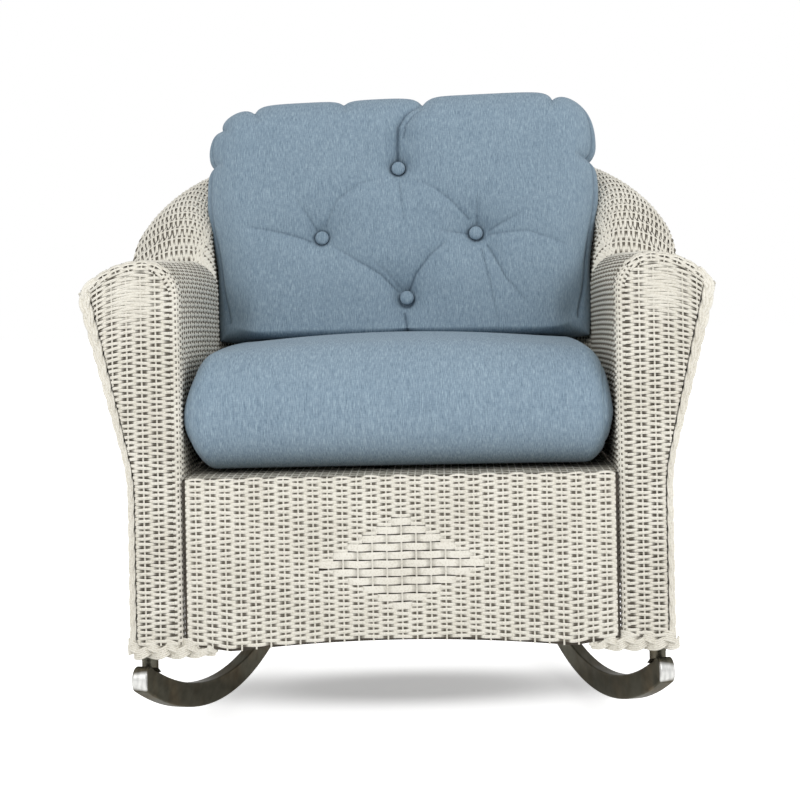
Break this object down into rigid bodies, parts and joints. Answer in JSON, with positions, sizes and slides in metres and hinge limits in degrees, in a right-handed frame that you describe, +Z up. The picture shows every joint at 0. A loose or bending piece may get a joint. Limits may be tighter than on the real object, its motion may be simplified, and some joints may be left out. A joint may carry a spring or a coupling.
{
  "type": "outdoor rocking chair",
  "caption": "Woven outdoor lounge rocking chair with rolled flared arms, steel runners, a blue box seat cushion and a button-tufted back cushion.",
  "frame": {"origin": "on the floor, on the middle plane, midway between the front and rear ends of the runners", "axes": "+Z up, -Y is the way the seated person faces, +X to the right seen from the front"},
  "size_m": [0.8584, 0.9132, 0.9211],
  "materials": {
    "woven_resin": "matte",
    "runner_steel": "satin",
    "frame_steel": "satin",
    "cushion_fabric": "matte",
    "twine": "matte"
  },
  "bodies": {
    "chair": {"arm_edge_braid_left": "woven_resin", "arm_edge_braid_right": "woven_resin", "arm_foot_braid_left": "woven_resin", "arm_foot_braid_right": "woven_resin", "arm_front_left": "woven_resin", "arm_front_right": "woven_resin", "arm_inner_skin_left": "woven_resin", "arm_inner_skin_right": "woven_resin", "arm_outer_skin_left": "woven_resin", "arm_outer_skin_right": "woven_resin", "arm_rail_left": "frame_steel", "arm_rail_right": "frame_steel", "back_hem": "woven_resin", "back_inner_skin": "woven_resin", "back_outer_skin": "woven_resin", "back_post_left": "frame_steel", "back_post_right": "frame_steel", "back_uprights": "frame_steel", "front_apron": "woven_resin", "front_post_left": "frame_steel", "front_post_right": "frame_steel", "post_collar_left": "runner_steel", "post_collar_right": "runner_steel", "rear_post_left": "frame_steel", "rear_post_right": "frame_steel", "rim_tube": "frame_steel", "runner_left": "runner_steel", "runner_right": "runner_steel", "seat_deck": "woven_resin", "seat_front_rail": "frame_steel", "seat_rear_rail": "frame_steel", "seat_side_rail_left": "frame_steel", "seat_side_rail_right": "frame_steel", "seat_slats": "frame_steel", "side_hem_left": "woven_resin", "side_hem_right": "woven_resin", "weld_beads": "runner_steel"},
    "seat_cushion_body": {"seat_cushion": "cushion_fabric"},
    "back_cushion_body": {"back_cushion": "cushion_fabric", "front_buttons": "cushion_fabric", "rear_buttons": "cushion_fabric", "tuft_twines": "twine"}
  },
  "joints": [
    {"name": "seat_cushion_pull", "type": "slide", "parent": "chair", "child": "seat_cushion_body", "axis": [0, -1, 0], "range_m": [0, 0.62]},
    {"name": "back_cushion_lift", "type": "slide", "parent": "chair", "child": "back_cushion_body", "axis": [0, 0.1977, 0.9803], "range_m": [0, 0.45]}
  ]
}
